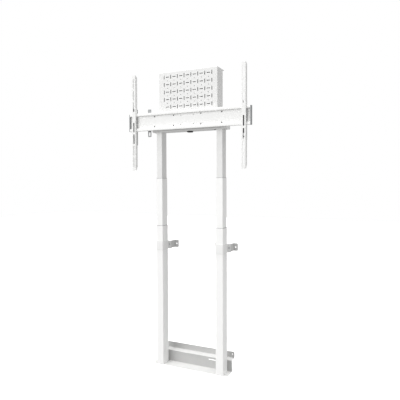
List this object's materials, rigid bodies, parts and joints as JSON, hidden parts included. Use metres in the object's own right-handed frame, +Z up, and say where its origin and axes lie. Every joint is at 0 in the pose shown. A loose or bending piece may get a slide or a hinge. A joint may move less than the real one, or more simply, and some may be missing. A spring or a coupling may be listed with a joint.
{
  "type": "tv lift mechanism",
  "caption": "Motorised column lift for a flat display: telescopic columns on a wall bracket carry a crossbar with sliding slotted arms and a perforated media plate.",
  "frame": {"origin": "on the floor, midway between the two columns, on their centre plane", "axes": "+X to the right along the crossbar, +Y back towards the wall, +Z up"},
  "size_m": [0.89, 0.168, 2.01],
  "materials": {
    "white_powder_coat": "satin powder coat on folded steel sheet",
    "pale_grey_coat": "satin powder coat on folded steel sheet",
    "black_powder_coat": "satin powder coat on folded steel sheet",
    "white_tube_coat": "satin powder coat on drawn steel tube",
    "collar_nylon": "moulded nylon",
    "grey_abs": "moulded ABS, fine grain",
    "black_abs": "moulded ABS",
    "receiver_lens": "smoked polycarbonate",
    "black_rubber": "moulded rubber",
    "zinc_steel": "zinc plated",
    "black_steel": "blackened steel",
    "drive_steel": "rolled, oiled",
    "nut_acetal": "moulded acetal",
    "gear_case": "die cast"
  },
  "bodies": {
    "frame": {"base_bracket": "pale_grey_coat", "base_screws": "zinc_steel", "clamp_screws": "zinc_steel", "clamp_nuts": "zinc_steel", "left_outer_tube": "white_tube_coat", "left_outer_collar": "collar_nylon", "left_clamp_strap": "white_powder_coat", "left_wall_bracket": "pale_grey_coat", "left_base_pillar": "drive_steel", "left_lower_nut": "nut_acetal", "right_outer_tube": "white_tube_coat", "right_outer_collar": "collar_nylon", "right_clamp_strap": "white_powder_coat", "right_wall_bracket": "pale_grey_coat", "right_base_pillar": "drive_steel", "right_lower_nut": "nut_acetal"},
    "carriage": {"beam_housing": "white_powder_coat", "beam_cover": "white_powder_coat", "beam_screws": "zinc_steel", "control_box": "black_abs", "receiver_dome": "receiver_lens", "cable_grommet": "black_rubber", "crossbar": "white_powder_coat", "crossbar_bolts": "black_steel", "plate_spacers": "zinc_steel", "media_bracket": "white_powder_coat", "media_back_panel": "black_powder_coat", "cable_hook": "grey_abs", "left_inner_tube": "white_tube_coat", "left_inner_glide": "nut_acetal", "left_gearbox": "gear_case", "left_motor": "black_steel", "left_end_cap": "grey_abs", "left_hanger": "white_powder_coat", "right_inner_tube": "white_tube_coat", "right_inner_glide": "nut_acetal", "right_gearbox": "gear_case", "right_motor": "black_steel", "right_end_cap": "grey_abs", "right_hanger": "white_powder_coat"},
    "left_stage": {"left_middle_tube": "white_tube_coat", "left_middle_collar": "collar_nylon", "left_middle_shoe": "nut_acetal", "left_carrier_tube": "drive_steel", "left_upper_nut": "nut_acetal"},
    "left_hollow_drive": {"left_hollow_screw": "drive_steel"},
    "left_top_drive": {"left_drive_screw": "drive_steel"},
    "left_arm_unit": {"left_arm": "white_powder_coat", "left_arm_claw": "black_powder_coat", "left_lock_screw": "zinc_steel"},
    "right_stage": {"right_middle_tube": "white_tube_coat", "right_middle_collar": "collar_nylon", "right_middle_shoe": "nut_acetal", "right_carrier_tube": "drive_steel", "right_upper_nut": "nut_acetal"},
    "right_hollow_drive": {"right_hollow_screw": "drive_steel"},
    "right_top_drive": {"right_drive_screw": "drive_steel"},
    "right_arm_unit": {"right_arm": "white_powder_coat", "right_arm_claw": "black_powder_coat", "right_lock_screw": "zinc_steel"}
  },
  "joints": [
    {"name": "lift", "type": "slide", "parent": "frame", "child": "carriage", "axis": [0, 0, 1], "range_m": [-0.62, 0.03]},
    {"name": "left_stage_slide", "type": "slide", "parent": "frame", "child": "left_stage", "axis": [0, 0, 1], "range_m": [-0.31, 0.015]},
    {"name": "left_hollow_turn", "type": "hinge", "parent": "left_stage", "child": "left_hollow_drive", "pos_m": [-0.2225, 0, 1.2], "axis": [0, 0, 1], "range_deg": [-13960, 685]},
    {"name": "left_screw_turn", "type": "hinge", "parent": "carriage", "child": "left_top_drive", "pos_m": [-0.2225, 0, 1.2], "axis": [0, 0, 1], "range_deg": [-13960, 685]},
    {"name": "left_arm_slide", "type": "slide", "parent": "carriage", "child": "left_arm_unit", "axis": [1, 0, 0], "range_m": [-0.02, 0.3]},
    {"name": "right_stage_slide", "type": "slide", "parent": "frame", "child": "right_stage", "axis": [0, 0, 1], "range_m": [-0.31, 0.015]},
    {"name": "right_hollow_turn", "type": "hinge", "parent": "right_stage", "child": "right_hollow_drive", "pos_m": [0.2225, 0, 1.2], "axis": [0, 0, 1], "range_deg": [-13960, 685]},
    {"name": "right_screw_turn", "type": "hinge", "parent": "carriage", "child": "right_top_drive", "pos_m": [0.2225, 0, 1.2], "axis": [0, 0, 1], "range_deg": [-13960, 685]},
    {"name": "right_arm_slide", "type": "slide", "parent": "carriage", "child": "right_arm_unit", "axis": [-1, 0, 0], "range_m": [-0.02, 0.3]}
  ],
  "couplings": [
    {"joint": "left_stage_slide", "follows": "lift", "ratio": 0.5},
    {"joint": "left_hollow_turn", "follows": "lift", "rad_per_m": 392.7},
    {"joint": "left_screw_turn", "follows": "lift", "rad_per_m": 392.7},
    {"joint": "right_stage_slide", "follows": "lift", "ratio": 0.5},
    {"joint": "right_hollow_turn", "follows": "lift", "rad_per_m": 392.7},
    {"joint": "right_screw_turn", "follows": "lift", "rad_per_m": 392.7}
  ]
}
